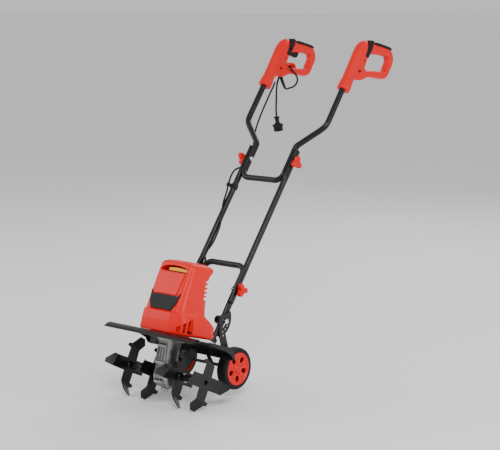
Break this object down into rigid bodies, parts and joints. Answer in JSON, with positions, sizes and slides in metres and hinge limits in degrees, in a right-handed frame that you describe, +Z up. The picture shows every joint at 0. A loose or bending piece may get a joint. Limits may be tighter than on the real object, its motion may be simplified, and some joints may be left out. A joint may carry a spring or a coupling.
{
  "type": "electric tiller",
  "caption": "Upright electric garden tiller: slotted star tines on a cross shaft under a tilted motor hood, wide guard, rear wheels and a folding tube handle with loop grips.",
  "frame": {"origin": "centre of the footprint at the level of the lowest tine tip", "axes": "+Z up, front of the machine (tines) towards -Y, handle rising towards +Y, operator's right towards +X"},
  "size_m": [0.4351, 1.1731, 1.2308],
  "materials": {
    "red_gloss": "glossy moulded plastic, scarlet",
    "red_matte": "fine-grained moulded plastic, red",
    "black_steel": "black powder coat on steel",
    "black_plastic": "black moulded plastic",
    "grey_plastic": "dark grey plastic insert",
    "yellow_label": "yellow label film",
    "cast_aluminium": "sand-blasted die casting",
    "zinc": "bright zinc plate",
    "brass": "machined bronze",
    "rubber": "black rubber",
    "tyre": "black solid rubber"
  },
  "bodies": {
    "chassis": {"hood": "red_gloss", "front_panel": "red_gloss", "front_insert": "grey_plastic", "recess_strip": "yellow_label", "gear_case_left": "cast_aluminium", "gear_case_right": "cast_aluminium", "shaft_bush_left": "rubber", "shaft_bush_right": "rubber", "motor_can": "zinc", "guard": "black_steel", "frame_plate": "black_steel", "lower_handle": "black_steel", "leg_bolt_left": "zinc", "leg_bolt_right": "zinc", "lock_bolt_left": "zinc", "lock_bolt_right": "zinc", "pivot_bolt_lower_left": "zinc", "pivot_bolt_lower_right": "zinc", "motor_cable_lower": "rubber"},
    "tine_rotor": {"tine_shaft": "black_steel", "worm_wheel": "brass", "hub_tube_left": "black_steel", "hub_tube_right": "black_steel", "tine_star_inner_left": "black_steel", "tine_star_outer_left": "black_steel", "tine_star_inner_right": "black_steel", "tine_star_outer_right": "black_steel", "hitch_pin_left": "zinc", "hitch_pin_right": "zinc"},
    "armature": {"armature": "zinc"},
    "wheel_carrier": {"carrier_arm_left": "black_steel", "carrier_arm_right": "black_steel", "axle": "zinc"},
    "wheel_left": {"tyre_left": "tyre", "wheel_hub_left": "red_matte"},
    "wheel_right": {"tyre_right": "tyre", "wheel_hub_right": "red_matte"},
    "middle_handle": {"middle_tube_left": "black_steel", "middle_tube_right": "black_steel", "pivot_bolt_upper_left": "zinc", "pivot_bolt_upper_right": "zinc", "motor_cable_middle": "rubber", "cable_clip": "black_plastic"},
    "upper_handle": {"upper_handle": "black_steel", "switch_grip": "red_matte", "switch_grip_pad": "rubber", "switch_grip_band": "rubber", "plain_grip": "red_matte", "plain_grip_pad": "rubber", "plain_grip_band": "rubber", "strain_relief": "rubber", "motor_cable_upper": "rubber", "power_cord": "rubber", "power_plug": "rubber"},
    "trigger": {"trigger": "black_plastic"},
    "lock_button": {"lock_button": "black_plastic"},
    "knob_lower_left": {"knob_lower_left": "red_matte"},
    "knob_lower_right": {"knob_lower_right": "red_matte"},
    "knob_upper_left": {"knob_upper_left": "red_matte"},
    "knob_upper_right": {"knob_upper_right": "red_matte"}
  },
  "joints": [
    {"name": "tine_spin", "type": "hinge", "parent": "chassis", "child": "tine_rotor", "pos_m": [0, -0.47901, 0.09939], "axis": [1, 0, 0], "continuous": true},
    {"name": "armature_spin", "type": "hinge", "parent": "chassis", "child": "armature", "pos_m": [0, -0.51074, 0.10849], "axis": [0, 0.2756, 0.9613], "continuous": true},
    {"name": "wheel_height", "type": "hinge", "parent": "chassis", "child": "wheel_carrier", "pos_m": [0, -0.32601, 0.2794], "axis": [1, 0, 0], "range_deg": [-4, 34]},
    {"name": "wheel_spin_left", "type": "hinge", "parent": "wheel_carrier", "child": "wheel_left", "pos_m": [-0.127, -0.27802, 0.10039], "axis": [1, 0, 0], "continuous": true},
    {"name": "wheel_spin_right", "type": "hinge", "parent": "wheel_carrier", "child": "wheel_right", "pos_m": [0.127, -0.27802, 0.10039], "axis": [1, 0, 0], "continuous": true},
    {"name": "middle_fold", "type": "hinge", "parent": "chassis", "child": "middle_handle", "pos_m": [0, -0.23454, 0.37239], "axis": [1, 0, 0], "range_deg": [0, 85]},
    {"name": "upper_fold", "type": "hinge", "parent": "middle_handle", "child": "upper_handle", "pos_m": [0, 0.07616, 0.79339], "axis": [1, 0, 0], "range_deg": [0, 110]},
    {"name": "knob_turn_lower_left", "type": "hinge", "parent": "chassis", "child": "knob_lower_left", "pos_m": [-0.126, -0.23454, 0.37239], "axis": [-1, 0, 0], "continuous": true},
    {"name": "knob_turn_lower_right", "type": "hinge", "parent": "chassis", "child": "knob_lower_right", "pos_m": [0.126, -0.23454, 0.37239], "axis": [1, 0, 0], "continuous": true},
    {"name": "knob_turn_upper_left", "type": "hinge", "parent": "middle_handle", "child": "knob_upper_left", "pos_m": [-0.126, 0.07616, 0.79339], "axis": [-1, 0, 0], "continuous": true},
    {"name": "knob_turn_upper_right", "type": "hinge", "parent": "middle_handle", "child": "knob_upper_right", "pos_m": [0.126, 0.07616, 0.79339], "axis": [1, 0, 0], "continuous": true},
    {"name": "trigger_squeeze", "type": "hinge", "parent": "upper_handle", "child": "trigger", "pos_m": [-0.186, 0.42899, 1.18339], "axis": [1, 0, 0], "range_deg": [0, 7], "stiffness_Nm_per_rad": 1.5},
    {"name": "lock_button_press", "type": "slide", "parent": "upper_handle", "child": "lock_button", "axis": [-1, 0, 0], "range_m": [0, 0.003], "stiffness_N_per_m": 400}
  ],
  "couplings": [
    {"joint": "armature_spin", "follows": "tine_spin", "ratio": 36}
  ]
}
